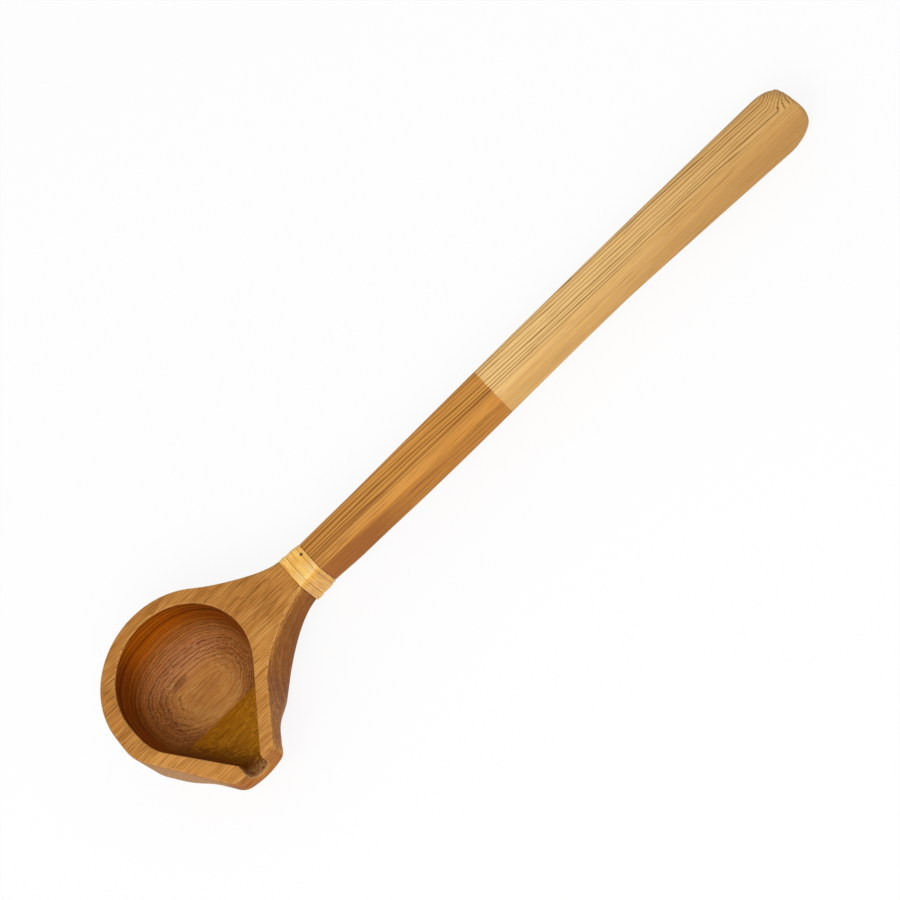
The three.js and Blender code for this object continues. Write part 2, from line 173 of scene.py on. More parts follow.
def rim_curves():
    """Outer edge of the flat rim, from past the joint on the neck's +Y side round to its -Y side."""
    past_joint = joint_x + neck_spare
    leave, meet = (on_bowl(np.array([turn]))[0] for turn in bowl_turns)
    leave_along, meet_along = (on_bowl(np.array([turn + math.pi / 2]))[0] for turn in bowl_turns)
    leave_along /= np.linalg.norm(leave_along)
    meet_along /= np.linalg.norm(meet_along)
    corner_far = np.array([spout_axis_x - spout_front_half, -spout_reach])
    corner_near = np.array([spout_axis_x + spout_front_half, -spout_reach])
    up_far = (spout_shoulder_far - corner_far) / np.linalg.norm(spout_shoulder_far - corner_far)
    up_near = (spout_shoulder_near - corner_near) / np.linalg.norm(spout_shoulder_near - corner_near)
    side_far = corner_far + spout_corner_radius * up_far
    side_near = corner_near + spout_corner_radius * up_near
    front_far = corner_far + (spout_corner_radius, 0)
    front_near = corner_near - (spout_corner_radius, 0)
    return [
        bezier((past_joint, neck_half), (neck_straight_from, neck_half)),
        bezier((neck_straight_from, neck_half), (neck_flare_x, neck_half + neck_flare),
               leave - bowl_pulls[0] * leave_along, leave),
        lambda t: on_bowl(mix(bowl_turns[0], bowl_turns[1], t)),
        bezier(meet, meet + bowl_pulls[1] * meet_along,
               spout_shoulder_far + spout_pulls[1] * up_far, spout_shoulder_far),
        bezier(spout_shoulder_far, side_far),
        bezier(side_far, corner_far, front_far),
        bezier(front_far, front_near),
        bezier(front_near, corner_near, side_near),
        bezier(side_near, spout_shoulder_near),
        bezier(spout_shoulder_near, spout_shoulder_near + spout_pulls[0] * up_near,
               (neck_flare_x, -neck_half - neck_flare), (neck_straight_from, -neck_half)),
        bezier((neck_straight_from, -neck_half), (past_joint, -neck_half)),
    ]


def towards_neck(points):
    """0 on the bowl, 1 on the straight neck."""
    return ease(points[:, 0], base_end_x, neck_straight_from)


def towards_front(points):
    """0 on the bowl, 1 at the spout's front."""
    return ease(-points[:, 1], *spout_rise)


def rim_samples(step):
    """Points round the rim's outer edge, each with a direction into the wood."""
    parts = [even_points(curve, step) for curve in rim_curves()]
    points = np.vstack([p for p, _ in parts])
    along = np.vstack([a for _, a in parts])
    square = np.column_stack([-along[:, 1], along[:, 0]])
    to_middle = -points / np.linalg.norm(points, axis=1, keepdims=True)
    off_bowl = np.maximum(towards_neck(points), towards_front(points))
    inward = mix(to_middle, square, off_bowl[:, None])
    inward /= np.linalg.norm(inward, axis=1, keepdims=True)
    # the open end past the joint, which is cut away later
    y = np.arange(-neck_half, neck_half, step)
    end = np.column_stack([np.full_like(y, joint_x + neck_spare), y])
    end_inward = np.column_stack([np.zeros_like(y), -y / neck_half])
    return np.vstack([points, end]), np.vstack([inward, end_inward])


def hollow_edge(direction):
    """Distance from the hollow's middle to its edge: a circle, drawn out into two straight spout walls."""
    off_spout = np.arctan2(direction[:, 0], -direction[:, 1])
    wall = np.where(off_spout > 0, spout_wall_near, spout_wall_far)
    turn = np.abs(off_spout)
    bowl = mix(wall, hollow_radius, ease(turn, spout_wall_turn, math.pi / 2))
    inner = np.minimum(turn, spout_wall_turn)
    spout = np.minimum(wall / np.cos(spout_wall_turn - inner), (spout_reach - mouth_wall) / np.cos(inner))
    return np.where(turn > spout_wall_turn, bowl, spout)


def hollow_height(points, share):
    """Height of the hollow's floor, ramp and wall at a share of the way out to its edge."""
    depth = hollow_depth - ramp_slope * np.maximum(0, -points[:, 1] - ramp_start)
    on_ramp = ease(-points[:, 1], ramp_start, spout_reach)
    floor_power = mix(bowl_profile[0], spout_profile[0], on_ramp)
    wall_power = mix(bowl_profile[1], spout_profile[1], on_ramp)
    return -depth * (1 - share ** floor_power) ** wall_power


def head_depth(points):
    """Depth of the underside below the rim: the flat base, rising to the neck and to the keeled spout."""
    x, y = points.T
    flat_base = head_height - rest_slope * np.minimum(x, base_end_x)
    shoulder_half = spout_shoulder_near[0] - spout_axis_x
    spread = (shoulder_half - spout_front_half) / (spout_reach + spout_shoulder_near[1])
    spout_half = spout_front_half + spread * (y + spout_reach)
    aside = np.minimum(1, np.abs(x - spout_axis_x) / spout_half)
    spout_depth = spout_front_depth * (1 - spout_keel * aside ** 2)
    neck = mix(1, neck_depth / head_height, towards_neck(points))
    spout = mix(1, spout_depth / head_height, towards_front(points))
    return flat_base * neck * spout


def under_radius(points):
    """Radius of the rounding between the outside and the underside."""
    at_front = ease(-points[:, 1], spout_reach - spout_corner_radius, spout_reach)
    on_spout = mix(bowl_edge_radius, spout_edge_radius, towards_front(points))
    return mix(mix(on_spout, spout_front_edge_radius, at_front), neck_under_radius, towards_neck(points))


def quarter(steps):
    """Turns through a quarter of a circle."""
    return np.linspace(0, math.pi / 2, steps + 1)


def lift(points, z):
    """Flat points at a height, or at a height each."""
    return np.column_stack([points, np.broadcast_to(z, len(points))])


def band(low, high, count):
    """Faces between two rings of points, by the numbers of the rings' first points."""
    here = np.arange(count)
    after = np.roll(here, -1)
    return np.column_stack([low + here, low + after, high + after, high + here]).tolist()


def skin(rings, first_middle, last_middle):
    """Closed skin over rings of equal count, with a fan to a middle point at each end."""
    count = len(rings[0])
    here = np.arange(count)
    after = np.roll(here, -1)
    middle = len(rings) * count
    faces = np.column_stack([np.full(count, middle), after, here]).tolist()
    for low in range(0, middle - count, count):
        faces += band(low, low + count, count)
    last_ring = middle - count
    faces += np.column_stack([np.full(count, middle + 1), last_ring + here, last_ring + after]).tolist()
    return np.vstack([*rings, [first_middle], [last_middle]]), faces


def add_piece(name, points, faces):
    """A mesh object set down in the row frame, from points in the rim's frame."""
    mesh = bpy.data.meshes.new(name)
    mesh.from_pydata(points.tolist(), [], faces)
    mesh.transform(rest_place)
    bm = bmesh.new()
    bm.from_mesh(mesh)
    bmesh.ops.recalc_face_normals(bm, faces=bm.faces)
    bm.to_mesh(mesh)
    bm.free()
    piece = bpy.data.objects.new(name, mesh)
    bpy.context.scene.collection.objects.link(piece)
    return piece


weld_distance = 1e-6  # metres


def cut_away(piece, *cutters):
    """Takes each cutter out of the piece, and the cutters out of the scene."""
    for cutter in cutters:
        step = piece.modifiers.new("cut", "BOOLEAN")
        step.operation = "DIFFERENCE"
        step.solver = "EXACT"
        step.object = cutter
    graph = bpy.context.evaluated_depsgraph_get()
    finished = bpy.data.meshes.new_from_object(piece.evaluated_get(graph))
    bm = bmesh.new()
    bm.from_mesh(finished)
    bmesh.ops.dissolve_degenerate(bm, dist=weld_distance, edges=bm.edges)
    bm.to_mesh(finished)
    bm.free()
    piece.modifiers.clear()
    piece.data = finished
    for cutter in cutters:
        bpy.data.objects.remove(cutter)


def smooth_faces(piece, sharp_from):
    """Smooth shading, with edges sharper than so many degrees kept."""
    piece.data.shade_smooth()
    piece.data.set_sharp_from_angle(angle=math.radians(sharp_from))


def mark_faces(piece, name, values):
    """A number on each face, which a material can read by its name."""
    marks = piece.data.attributes.new(name, "FLOAT", "FACE")
    marks.data.foreach_set("value", np.asarray(values, np.float32))


# steps of the head's mesh
rim_step = 0.9
under_rings = 30
under_edge_steps = 16
rim_edge_steps = 5
hollow_steps = 60


def bowl_head_skin():
    """The uncut head, and for each face whether it lies inside the hollow."""
    points, inward = rim_samples(rim_step)
    under = under_radius(points)[:, None]
    rings = []
    # underside, from the middle out, and its rounding up to the wall
    for k in range(1, under_rings + 1):
        ring = (points + inward * under) * k / under_rings
        rings.append(lift(ring, -head_depth(ring)))
    for turn in quarter(under_edge_steps)[1:]:
        ring = points + inward * under * (1 - math.sin(turn))
        rings.append(lift(ring, -head_depth(ring) + under[:, 0] * (1 - math.cos(turn))))
    # eased outer and inner edges of the rim
    on_neck = ease(points[:, 0], bowl_half_length, neck_straight_from)
    edge = mix(rim_edge_radius, neck_edge_radius, on_neck)[:, None]
    for turn in quarter(rim_edge_steps):
        rings.append(lift(points + inward * edge * (1 - math.cos(turn)), -edge[:, 0] * (1 - math.sin(turn))))
    direction = points / np.linalg.norm(points, axis=1, keepdims=True)
    reach = hollow_edge(direction)[:, None]
    for turn in quarter(rim_edge_steps):
        ring = direction * (reach + rim_edge_radius * (1 - math.sin(turn)))
        rings.append(lift(ring, -rim_edge_radius * (1 - math.cos(turn))))
    # hollow, from its edge in to the middle of the floor
    outer_rings = len(rings)
    for turn in quarter(hollow_steps)[1:-1]:
        ring = direction * reach * math.cos(turn)
        rings.append(lift(ring, hollow_height(ring, math.cos(turn))))
    skin_points, faces = skin(rings, (0, 0, -head_height), (0, 0, -hollow_depth))
    count = len(points)
    inside = [min(face) >= (outer_rings - 1) * count for face in faces]
    inside[:count] = [False] * count
    return skin_points, faces, inside


bore_radius = dowel_radius + gap
bore_points = 48


def bore_cutter():
    """A round bar along X at the dowel's height, from the bore's end in the neck to past the joint."""
    start = joint_x - dowel_length / 2 - gap
    end = start + dowel_length + 2 * gap
    turns = np.linspace(0, 2 * math.pi, bore_points, endpoint=False)
    y = bore_radius * np.cos(turns)
    z = bore_radius * np.sin(turns) + dowel_z
    rings = [np.column_stack([np.full(bore_points, x), y, z]) for x in (start, end)]
    return skin(rings, (start, 0, dowel_z), (end, 0, dowel_z))


def mouth_cutter():
    """A round-bottomed channel at the ramp's slope, running out into it, with eased edges at the front."""
    half_round = mouth_radius / math.cos(math.atan(ramp_slope))
    eased = mouth_ease * (1 - np.sin(quarter(rim_edge_steps)))
    stations = np.concatenate([mouth_stations, eased - mouth_clear, [-mouth_overshoot]])
    heights = np.concatenate([[mouth_over_rim], mouth_clear - eased[::-1]])
    turns = 2 * quarter(mouth_arc_steps)
    rings = []
    for behind in stations:
        past = np.clip(mouth_ease - mouth_clear - behind, 0, mouth_ease)
        widen = mouth_ease - math.sqrt(mouth_ease ** 2 - past ** 2)
        into_ramp = ease(behind, mouth_run_out_start, mouth_stations[0])
        bottom = -mouth_depth - ramp_slope * behind + mouth_run_out * into_ramp
        near_rim = np.clip(heights - mouth_clear + mouth_ease, 0, mouth_ease)
        half = mouth_radius + widen + mouth_ease - np.sqrt(mouth_ease ** 2 - near_rim ** 2)
        wall = np.column_stack([half, heights])
        arc = np.column_stack([(mouth_radius + widen) * np.cos(turns),
                               bottom + half_round - (half_round + widen) * np.sin(turns)])
        section = np.vstack([wall, arc, wall[::-1] * (-1, 1)])
        y = np.full(len(section), behind - spout_reach)
        rings.append(np.column_stack([spout_axis_x + section[:, 0], y, section[:, 1]]))
    return skin(rings, rings[0].mean(0), rings[-1].mean(0))


binding_start = 68.2
strip_widths = {"lower": 3.7, "middle": 6.0, "upper": 1.9}
cane_thickness = 1.0
binding_half = (9.5, 8.5)  # at its start and its end
binding_proud = 0.5  # the cane stands this far out of the wood
binding_corner_radius = 3.0
binding_end = binding_start + sum(strip_widths.values()) + 2 * gap

strips = {}
strip_start = binding_start
for place, width in strip_widths.items():
    along = (strip_start + width / 2 - binding_start) / (binding_end - binding_start)
    strips[place] = {"start": strip_start, "width": width, "half": mix(*binding_half, along)}
    strip_start += width + gap


def rounded_section(left, right, top, bottom, radius, run, arc=8):
    """Points (y, z) round a rectangle with rounded corners, and the outward direction at each."""
    points, outward = [], []
    corners = [(left - radius, bottom + radius, -90), (left - radius, top - radius, 0),
               (right + radius, top - radius, 90), (right + radius, bottom + radius, 180)]
    for k, (y, z, start) in enumerate(corners):
        turns = np.radians(np.linspace(start, start + 90, arc + 1))
        out = np.column_stack([np.cos(turns), np.sin(turns)])
        points.append((y, z) + radius * out)
        outward.append(out)
        after_y, after_z, _ = corners[(k + 1) % 4]
        next_start = np.array([after_y, after_z]) + radius * out[-1]
        shares = np.linspace(0, 1, run + 1)[1:-1, None]
        points.append(mix(points[-1][-1], next_start, shares))
        outward.append(np.tile(out[-1], (len(shares), 1)))
    return np.vstack(points), np.vstack(outward)


def wrap(profile):
    """A closed profile carried round the binding: strips, each with an x and a height over its outer face."""
    top, bottom = binding_proud, -neck_depth - binding_proud
    rings = []
    for strip, x, height in profile:
        half = strip["half"]
        path, outward = rounded_section(half, -half, top, bottom, binding_corner_radius, run=14, arc=12)
        rings.append(np.column_stack([np.full(len(path), x), path + outward * height]))
    count = len(rings[0])
    faces = []
    for k in range(len(rings)):
        faces += band(k * count, (k + 1) % len(rings) * count, count)
    return np.vstack(rings), faces


seat_step = 0.05  # length of the slope between the seats of two strips
seat_drop = cane_thickness + gap
seat_cut_height = 8.0
seat_cut_spare = 5.0


def seat_cutter():
    """The seats of the lower and middle strips on the neck, as one body that runs out past the joint."""
    lower, middle = strips["lower"], strips["middle"]
    start = lower["start"] - gap
    step = middle["start"] - gap
    end = joint_x + seat_cut_spare
    inner = [(lower, start), (lower, step), (middle, step + seat_step), (middle, end)]
    outer = [(middle, end), (lower, start)]
    return wrap([(*point, -seat_drop) for point in inner] + [(*point, seat_cut_height) for point in outer])


head_points, head_faces, head_inside = bowl_head_skin()
bowl_head = add_piece("carved_head", head_points, head_faces)
mark_faces(bowl_head, "hollow", head_inside)
mouth = add_piece("mouth_cutter", *mouth_cutter())
mark_faces(mouth, "hollow", [1] * len(mouth.data.polygons))

# everything past the joint goes, in a box that is larger than the neck
joint_cut = joint_x - gap / 2
box_reach = 60.0
box_x = (joint_cut, joint_cut + box_reach)
box_side = (-box_reach, box_reach)
box_points = np.array([(x, y, z) for x in box_x for y in box_side for z in box_side])
box_faces = [[0, 1, 3, 2], [4, 6, 7, 5], [0, 4, 5, 1], [2, 3, 7, 6], [0, 2, 6, 4], [1, 5, 7, 3]]
cut_away(
    bowl_head,
    add_piece("joint_cutter", box_points, box_faces),
    add_piece("bore_cutter", *bore_cutter()),
    mouth,
    add_piece("seat_cutter", *seat_cutter()),
)
smooth_faces(bowl_head, sharp_from=38)


def colour(red, green, blue):
    """A screen colour from 0 to 255 as the linear values that a shader takes."""
    screen = [part / 255 for part in (red, green, blue)]
    linear = [c / 12.92 if c <= 0.04045 else ((c + 0.055) / 1.055) ** 2.4 for c in screen]
    return (*linear, 1.0)


def new_node(tree, kind, inputs, **settings):
    """A node with its settings made, its constants set and its links drawn."""
    made = tree.nodes.new(kind)
    for name, value in settings.items():
        setattr(made, name, value)
    for place, value in inputs.items():
        put(made.inputs[place], value)
    return made


def put(socket, value):
    if isinstance(value, Shade):
        value.tree.links.new(value.socket, socket)
    else:
        socket.default_value = value


def shade(tree, kind, inputs, output=0, **settings):
    """One output of a new node."""
    return Shade(tree, new_node(tree, kind, inputs, **settings).outputs[output])


def blend(tree, share, start, end, kind):
    inputs = {0: share, 6: start, 7: end}
    return shade(tree, "ShaderNodeMix", inputs, 2, data_type="RGBA", blend_type=kind)


class Shade:
    """A number or a colour that varies over a piece, worked out by the nodes of the piece's material.

    Places are in millimetres and shares run from 0 to 1.
    """

    def __init__(self, tree, socket):
        self.tree = tree
        self.socket = socket

    def calc(self, operation, *others):
        return shade(self.tree, "ShaderNodeMath", dict(enumerate((self, *others))), operation=operation)

    def __add__(self, other):
        return self.calc("ADD", other)

    def __sub__(self, other):
        return self.calc("SUBTRACT", other)

    def __rsub__(self, other):
        return self.calc("MULTIPLY_ADD", -1.0, other)

    def __mul__(self, other):
        return self.calc("MULTIPLY", other)

    def __truediv__(self, other):
        return self.calc("DIVIDE", other)

    def __neg__(self):
        return self * -1.0

    def __abs__(self):
        return self.calc("ABSOLUTE")

    def at_least(self, other):
        return self.calc("MAXIMUM", other)

    def between(self, low, high):
        """0 below low, 1 above high, smooth between."""
        inputs = {0: self, 1: low, 2: high}
        return shade(self.tree, "ShaderNodeMapRange", inputs, interpolation_type="SMOOTHSTEP")

    def swing(self, size):
        """A share from 0 to 1 as a shift of up to so many millimetres either way."""
        return self * (2.0 * size) - size

    def parts(self):
        """The X, Y and Z of a place or a direction."""
        outputs = new_node(self.tree, "ShaderNodeSeparateXYZ", {0: self}).outputs
        return [Shade(self.tree, output) for output in outputs]

    def blend(self, start, end):
        """A colour by this share: the start where it is 0, the end where it is 1."""
        return blend(self.tree, self, start, end, "MIX")

    def coated(self, share, coat):
        """This colour under a coat that covers a share of it."""
        return blend(self.tree, share, self, coat, "MIX")

    def toned(self, share, tone):
        """This colour, times a tone over a share of it."""
        return blend(self.tree, share, self, tone, "MULTIPLY")

    def darkened(self, grey):
        """This colour times a grey."""
        return self.toned(1.0, shade(self.tree, "ShaderNodeCombineColor", {0: grey, 1: grey, 2: grey}))


class Finish:
    """A piece's material while it is drawn, with the place on the ladle in millimetres in the rim's frame."""

    def __init__(self, name):
        self.material = bpy.data.materials.new(name)
        self.material.use_nodes = True
        self.tree = self.material.node_tree
        self.shader = self.tree.nodes["Principled BSDF"]
        row_place = shade(self.tree, "ShaderNodeTexCoord", {}, "Object")
        self.place = shade(self.tree, "ShaderNodeMapping", {
            "Vector": row_place, "Scale": (1000, 1000, 1000), "Rotation": (0, -math.atan(rest_slope), 0),
            "Location": (0, 0, -head_height)})

    def facing(self):
        """The way the surface faces."""
        return shade(self.tree, "ShaderNodeNewGeometry", {}, "Normal")

    def noise(self, along, across, detail=2.0, rough=0.5, shift=0.0):
        """Noise from 0 to 1, with so many turns per millimetre along the handle and across it."""
        moved = shade(self.tree, "ShaderNodeMapping", {
            "Vector": self.place, "Scale": (along, across, across), "Location": (shift, shift, shift)})
        return shade(self.tree, "ShaderNodeTexNoise",
                     {"Vector": moved, "Scale": 1.0, "Detail": detail, "Roughness": rough})

    def dress(self, tone, roughness, relief, relief_depth):
        """Sets the colour, the roughness and a relief, from heights of 0 to 1 and a depth in millimetres."""
        put(self.shader.inputs["Base Color"], tone)
        put(self.shader.inputs["Roughness"], roughness)
        heights = {"Height": relief, "Distance": relief_depth / 1000, "Strength": 1.0}
        put(self.shader.inputs["Normal"], shade(self.tree, "ShaderNodeBump", heights))
        return self.material


line_spread = 0.3  # how much the lines' start varies from year to year, as a share of a ring
line_full = (0.88, 0.92)  # the lines are darkest between these shares of a ring
line_weakest = 0.4


def growth_rings(ring, line_start, first_year=0.0):
    """Late wood, 0 to 1, at the end of each year's ring of a count: broader and darker in some years."""
    year = ring.calc("FLOOR") + first_year
    part = ring.calc("FRACT")
    weight = shade(ring.tree, "ShaderNodeTexWhiteNoise", {"W": year}, noise_dimensions="1D")
    breadth = shade(ring.tree, "ShaderNodeTexWhiteNoise", {"W": year + 0.5}, noise_dimensions="1D")
    rise = part.between(breadth * -line_spread + (line_start + line_spread / 2), line_full[0])
    fall = 1 - part.between(line_full[1], 1.0)
    return rise * fall * (weight * (1 - line_weakest) + line_weakest)


ramp_lean = 0.485  # the ramp's colour starts further out the higher it is on the walls
ramp_edge = ramp_start + ramp_lean * hollow_depth
ramp_edge_half = 0.3


def mark_head_parts(head):
    """Shares of the head's surface, 0 to 1 with soft edges, by place and by the way the surface faces."""
    head.x, head.y, head.z = head.place.parts()
    head.facing_x, _, head.facing_z = head.facing().parts()
    head.to_spout = -head.y
    head.hollow = shade(head.tree, "ShaderNodeAttribute", {}, "Fac", attribute_name="hollow")
    head.outside = 1 - head.hollow
    head.wall = head.hollow * head.z.between(-31.0, -13.0)
    up_ramp = head.to_spout - head.z * ramp_lean
    on_ramp = up_ramp.between(ramp_edge - ramp_edge_half, ramp_edge + ramp_edge_half)
    head.ramp = head.hollow * on_ramp * head.facing_z.between(0.5, 0.75)
    head.floor = head.hollow * (1 - head.wall) * (1 - head.ramp)
    head.mouth = head.hollow * head.to_spout.between(46.0, 54.0)
    head.flank = head.outside * (1 - head.facing_z.between(-0.05, 0.3))
    head.arris = head.outside * head.facing_z.between(0.2, 0.5) * (1 - head.facing_z.between(0.9, 0.985))


head_ring_width = 1.35
pith_y = 6.0
pith_depth = 58.0
pith_slope = 0.04


def grow_head_wood(head):
    """Year rings round a pith line along the handle, well below the hollow, and fibres and strokes."""
    broad = head.noise(0.022, 0.04).swing(3.0)
    crinkle = head.noise(0.1, 0.34, detail=1, rough=0.6).swing(0.8)
    over_pith = head.z + head.x * pith_slope + pith_depth
    beside_pith = head.y - pith_y
    growth = (over_pith * over_pith + beside_pith * beside_pith).calc("SQRT") + broad + crinkle
    ring = growth / head_ring_width
    head.late = growth_rings(ring, 0.5)
    head.thin_late = growth_rings(ring, 0.72)
    years = shade(head.tree, "ShaderNodeTexNoise", {"W": growth * 0.42, "Scale": 1.0, "Detail": 2.0},
                  noise_dimensions="1D")
    head.broad_year = years.between(0.35, 0.65)
    head.fibre = head.noise(0.05, 1.6, detail=4, rough=0.65)
    head.streak = head.noise(0.014, 0.2, detail=3, rough=0.55, shift=7.0)
    head.strokes = head.noise(0.05, 1.7, detail=0, shift=3.0).between(0.64, 0.69)
    head.fine_strokes = head.noise(0.08, 2.9, detail=1, shift=13.0).between(0.55, 0.62)
    head.pale_strokes = head.noise(0.06, 1.7, detail=1, shift=17.0).between(0.56, 0.62)
    head.mottle = head.noise(0.3, 0.45, detail=3, rough=0.6, shift=23.0)


def rim_colour(head):
    """Rim, neck and spout top: pale wood in broad streaks, browner at the neck's end and on the spout."""
    pale = colour(214, 152, 79)
    brown = colour(195, 132, 62)
    end_brown = colour(184, 120, 53)
    off_spout_tone = colour(232, 225, 214)
    wood = head.streak.between(0.3, 0.7).blend(pale, brown)
    at_end = head.x.between(38.0, 56.0).at_least(head.to_spout.between(26.0, 38.0) * 0.6)
    wood = wood.coated(at_end * 0.6, end_brown)
    off_spout = head.y.between(-24.0, -4.0) * (1 - head.x.between(46.0, 62.0))
    return wood.toned(off_spout, off_spout_tone)


def floor_colour(head):
    """The hollow's floor: pale in the middle, browner by the wall and the neck, with a rosy painted sheen
    opposite the spout.
    """
    middle = colour(198, 136, 68)
    by_wall = colour(146, 86, 40)
    broad_ring = colour(160, 96, 44)
    by_neck = colour(144, 82, 36)
    floor_painted_sheen = colour(198, 132, 90)
    wood = head.z.between(-32.8, -28.0).blend(middle, by_wall)
    wood = wood.coated(head.broad_year * 0.5, broad_ring)
    wood = wood.coated(head.x.between(8.0, 24.0) * 0.4, by_neck)
    # painted sheen: a rosy tint on the floor opposite the spout, where the light glances off it
    return wood.coated(head.y.between(9.0, 19.0) * 0.4, floor_painted_sheen)


def flank_colour(head):
    """The upright outside: streaked brown, darkest under the neck, paler on the far end, painted lighter on
    the spout.
    """
    pale = colour(228, 155, 68)
    brown = colour(188, 114, 38)
    spout_front = colour(204, 124, 54)
    spout_side_painted_light = colour(252, 186, 108)
    under_neck = colour(140, 74, 22)
    streak_brown = colour(128, 66, 18)
    far_pale = colour(255, 206, 128)
    far_brown = colour(238, 178, 104)
    wood = head.broad_year.blend(pale, brown)
    # painted light: the spout's outside is lighter where it faces along the handle
    spout = head.facing_x.between(0.2, 0.6).blend(spout_front, spout_side_painted_light)
    wood = wood.coated(head.to_spout.between(30.0, 48.0) * 0.75, spout)
    under_rim = (-head.z).between(2.0, 7.0)
    wood = wood.coated(head.x.between(20.0, 50.0) * under_rim * 0.65, under_neck)
    streak = head.noise(0.03, 0.5, detail=3, rough=0.6, shift=29.0).between(0.38, 0.62)
    wood = wood.coated(streak * 0.45, streak_brown)
    far_end = (1 - head.x.between(-12.0, 2.0)) * (1 - head.to_spout.between(50.0, 57.0))
    return wood.coated(far_end * 0.85, head.broad_year.blend(far_pale, far_brown))


def wall_colour(head):
    """The hollow's wall: dark red-brown, partly the wood and partly painted shade, with painted light
    opposite the spout.
    """
    dark = colour(98, 40, 2)
    brown = colour(148, 75, 14)
    wall_painted_light_dark = colour(162, 80, 4)
    wall_painted_light_brown = colour(214, 114, 10)
    # dark red-brown: partly the oiled wood's own colour, partly painted shade of the hollow's steep walls
    wood = head.broad_year.blend(dark, brown)
    # painted light: a warmer, brighter stretch of wall opposite the spout, where the light falls
    painted_light_on_wall = head.x.between(-26.0, -8.0) * (1 - head.x.between(2.0, 30.0)) * head.y.between(4.0, 20.0)
    return wood.coated(painted_light_on_wall * 0.62, head.broad_year.blend(wall_painted_light_dark, wall_painted_light_brown))


def draw_rings(head, wood):
    """Dark lines of late wood, faint in the middle of the floor and in the mouth, and thin on the outside."""
    late_wood = colour(70, 33, 12)
    thin_line = colour(120, 70, 28)
    off_middle = head.z.between(-32.6, -30.8) * 0.8 + 0.18
    strength = head.floor * off_middle + head.wall * 0.65 + head.ramp * 0.2 + head.flank * 0.6
    off_mouth = head.mouth * -0.7 + 1.0
    wood = wood.coated(head.late * (strength * off_mouth), late_wood)
    return wood.coated(head.thin_late * head.outside * 0.4, thin_line)


def draw_strokes(head, wood):
    """Short strokes of open pores and of pale fibres, on the outside, the ramp and the floor."""
    pore_brown = colour(118, 68, 26)
    fine_brown = colour(124, 72, 24)
    fibre_pale = colour(238, 182, 108)
    flat_outside = head.outside * (1 - head.flank)
    wood = wood.coated(head.strokes * head.outside * 0.62, pore_brown)
    wood = wood.coated(head.fine_strokes * head.outside * 0.5, fine_brown)
    wood = wood.coated(head.pale_strokes * flat_outside * 0.3, fibre_pale)

    ramp_brown = colour(126, 74, 8)
    ramp_dark = colour(92, 50, 4)
    ramp_pale = colour(226, 160, 50)
    ramp_streak = head.noise(0.03, 0.7, rough=0.55, shift=43.0).between(0.42, 0.62)
    wood = wood.coated(ramp_streak * head.ramp * 0.4, ramp_brown)
    wood = wood.coated(head.fine_strokes * head.ramp * 0.45, ramp_dark)
    wood = wood.coated(head.pale_strokes * head.ramp * 0.42, ramp_pale)

    floor_brown = colour(132, 80, 36)
    floor_pale = colour(206, 156, 96)
    floor_middle = head.floor * (1 - head.z.between(-32.4, -30.5))
    wood = wood.coated(head.fine_strokes * floor_middle * 0.4, floor_brown)
    return wood.coated(head.pale_strokes * head.floor * 0.42, floor_pale)


def draw_smear(head, wood):
    """One small dark smear on the floor, where a ring of late wood only just comes to the surface."""
    smear_brown = colour(118, 70, 32)
    lengthwise = head.x * 0.16 + head.y * 0.04 + 0.75
    crosswise = head.y * 0.55 + head.x * -0.14 - 8.8 + head.mottle.swing(0.6)
    from_smear = lengthwise * lengthwise + crosswise * crosswise
    smear = (1 - from_smear.between(0.2, 1.3)) * head.floor
    return wood.coated(smear * 0.6, smear_brown)


def shade_and_wear_mouth(head, wood):
    """Painted shadow on the ramp by the far wall, water stains in the mouth, where the wood is rough, and a
    pale lip.
    """
    far_wall_painted_shadow = colour(92, 48, 4)
    mouth_brown = colour(72, 40, 12)
    fleck_dark = colour(112, 64, 26)
    fleck_pale = colour(200, 148, 92)
    lip_pale = colour(232, 184, 122)
    out_x = math.sin(spout_wall_turn)
    out_y = math.cos(spout_wall_turn)
    # painted shadow: the ramp darkens along the foot of the spout's far wall, which shades it
    from_far_wall = head.x * out_x + head.y * out_y + spout_wall_far - head.mottle * 20.0
    painted_shadow_by_far_wall = (1 - from_far_wall.between(-5.0, 4.0)) * head.to_spout.between(10.0, 22.0)
    wood = wood.coated(painted_shadow_by_far_wall * head.hollow * 0.7, far_wall_painted_shadow)
    wood = wood.coated(head.mottle.between(0.45, 0.6) * head.mouth * 0.5, mouth_brown)
    torn = head.noise(1.1, 1.1, rough=0.6, shift=37.0)
    flecks = torn.between(0.38, 0.62).blend(fleck_dark, fleck_pale)
    wood = wood.coated(head.hollow * head.to_spout.between(49.0, 55.5) * 0.75, flecks)
    return wood.coated(head.hollow * head.to_spout.between(57.2, 57.9) * 0.4, lip_pale)


wood_gloss = 0.05
ramp_ochre = colour(180, 114, 14)
arris_painted_highlight = colour(232, 174, 100)
end_grain_tone = colour(216, 202, 200)
head_relief_depth = 0.06


